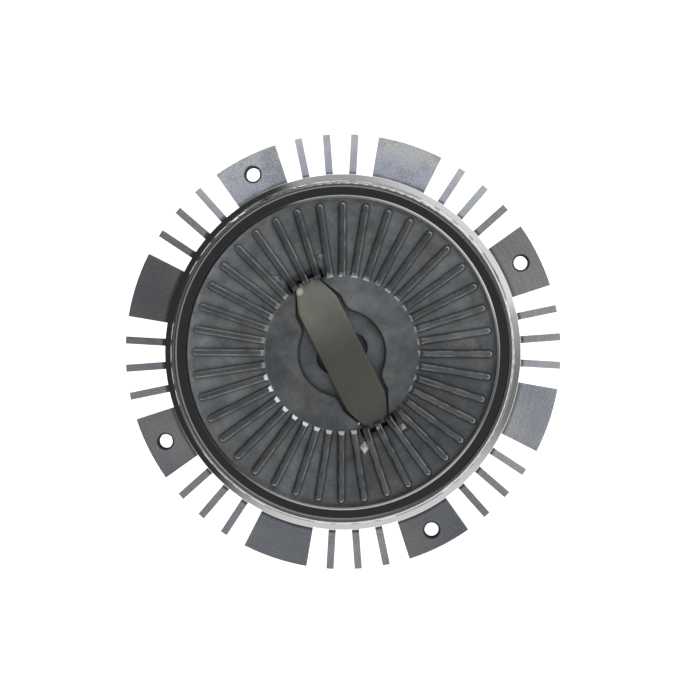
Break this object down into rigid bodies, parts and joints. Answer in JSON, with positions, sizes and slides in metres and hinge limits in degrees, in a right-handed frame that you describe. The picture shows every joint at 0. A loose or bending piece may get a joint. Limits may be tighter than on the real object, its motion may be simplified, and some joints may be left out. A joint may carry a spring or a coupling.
{
  "type": "viscous fan clutch",
  "caption": "Round viscous fan clutch with a ribbed front cover, a bimetal strip across it, cooling fins and drilled lugs for a fan, and a hexagon drive shaft behind.",
  "frame": {"origin": "on the clutch's axis, at the rear end face of the drive shaft, on which it stands", "axes": "+Z along the axis towards the ribbed front cover, +X through the middle of a drilled lug"},
  "size_m": [0.18, 0.18, 0.0603],
  "materials": {
    "machined_aluminium": "turned lug faces and a polished rim",
    "cast_cover": "dark die-cast skin",
    "bimetal": "dull rolled strip",
    "plain_steel": "turned",
    "bearing_steel": "ground",
    "spring_steel": "dark phosphated",
    "rotor_aluminium": "turned",
    "seal_rubber": "matt",
    "cage_plastic": "moulded"
  },
  "bodies": {
    "drive": {"drive_shaft": "plain_steel", "primary_disc": "rotor_aluminium", "bearing_inner_ring": "bearing_steel"},
    "housing": {"clutch_body": "machined_aluminium", "front_cover": "cast_cover", "cover_seal": "seal_rubber", "bimetal_strip": "bimetal", "pin_seal": "seal_rubber", "intermediate_disc": "plain_steel", "lever_rivet": "plain_steel", "pump_block": "rotor_aluminium", "pump_block_rivets": "plain_steel", "bearing_outer_ring": "bearing_steel", "bearing_front_seal": "seal_rubber", "bearing_rear_seal": "seal_rubber", "bearing_circlip": "spring_steel"},
    "ball_cage": {"bearing_balls": "bearing_steel", "bearing_cage": "cage_plastic"},
    "pin": {"control_pin": "plain_steel"},
    "lever": {"valve_lever": "spring_steel"}
  },
  "joints": [
    {"name": "clutch_spin", "type": "hinge", "parent": "drive", "child": "housing", "pos_m": [0, 0, 0.0275], "axis": [0, 0, 1], "continuous": true},
    {"name": "cage_spin", "type": "hinge", "parent": "drive", "child": "ball_cage", "pos_m": [0, 0, 0.0275], "axis": [0, 0, 1], "continuous": true},
    {"name": "pin_slide", "type": "slide", "parent": "housing", "child": "pin", "axis": [0, 0, 1], "range_m": [0, 0.001], "deforming": ["bimetal_strip"]},
    {"name": "lever_lift", "type": "hinge", "parent": "housing", "child": "lever", "pos_m": [-0.028, 0, 0.0482], "axis": [0, -1, 0], "range_deg": [0, 2.05]}
  ],
  "couplings": [
    {"joint": "cage_spin", "follows": "clutch_spin", "ratio": 0.6031},
    {"joint": "lever_lift", "follows": "pin_slide", "rad_per_m": 35.714}
  ]
}
